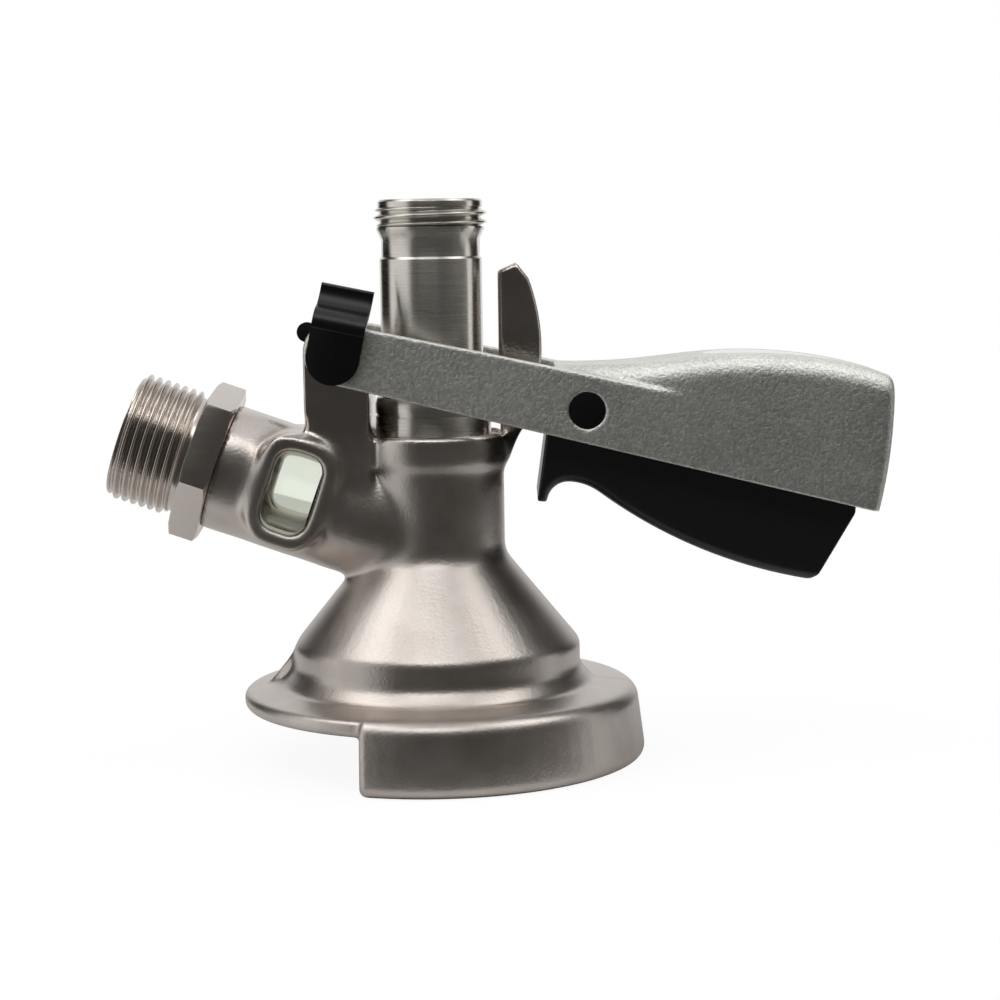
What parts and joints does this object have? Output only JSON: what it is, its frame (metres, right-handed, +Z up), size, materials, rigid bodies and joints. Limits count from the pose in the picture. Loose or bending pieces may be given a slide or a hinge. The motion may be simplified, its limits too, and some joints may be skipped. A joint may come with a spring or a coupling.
{
  "type": "keg coupler",
  "caption": "Slide-on keg coupler: lever handle with trigger, hollow beer probe, gas branch with sight glass.",
  "frame": {"origin": "on the main axis, in the plane of the skirt's foot", "axes": "+Z up along the beer probe, +X towards the handle's grip, the gas branch rises to -X"},
  "size_m": [0.1589, 0.0852, 0.1138],
  "materials": {
    "nickel_casting": "satin nickel plate over a fine cast grain",
    "stainless": "turned and polished",
    "blasted_steel": "blasted, fine even grain",
    "black_steel": "satin black",
    "black_plastic": "moulded, half gloss",
    "white_plastic": "gloss",
    "black_rubber": "matt",
    "clear_glass": "clear, slightly green"
  },
  "bodies": {
    "body": {"body_casting": "nickel_casting", "keg_seal": "black_rubber", "guide_bush": "white_plastic", "gas_inlet_fitting": "nickel_casting", "sight_glass": "clear_glass", "sight_glass_seal_inner": "black_rubber", "sight_glass_seal_outer": "black_rubber", "fitting_o_ring": "black_rubber", "check_valve": "black_rubber", "check_valve_ring": "white_plastic"},
    "probe": {"beer_probe": "stainless", "probe_o_ring_lower": "black_rubber", "probe_o_ring_upper": "black_rubber", "probe_seal": "black_rubber", "ball_cage": "white_plastic"},
    "ball": {"check_ball": "stainless"},
    "handle": {"handle": "blasted_steel", "handle_inlay": "white_plastic", "hinge_pin": "stainless", "pin_clip": "black_steel", "pin_keeper": "black_steel", "drive_studs": "stainless", "trigger_pin": "black_steel", "trigger_spring": "stainless"},
    "trigger": {"trigger": "black_plastic"}
  },
  "joints": [
    {"name": "handle_swing", "type": "hinge", "parent": "body", "child": "handle", "pos_m": [-0.0189, 0, 0.0836], "axis": [0, -1, 0], "range_deg": [0, 36]},
    {"name": "probe_slide", "type": "slide", "parent": "body", "child": "probe", "axis": [0, 0, 1], "range_m": [0, 0.012]},
    {"name": "trigger_squeeze", "type": "hinge", "parent": "handle", "child": "trigger", "pos_m": [0.031, 0, 0.0717], "axis": [0, -1, 0], "range_deg": [0, 10], "stiffness_Nm_per_rad": 0.8, "springref_deg": -20.05, "deforming": ["trigger_spring"]},
    {"name": "ball_lift", "type": "slide", "parent": "probe", "child": "ball", "axis": [0, 0, 1], "range_m": [0, 0.002]}
  ],
  "couplings": [
    {"joint": "probe_slide", "follows": "handle_swing", "m_per_rad": 0.018987}
  ]
}
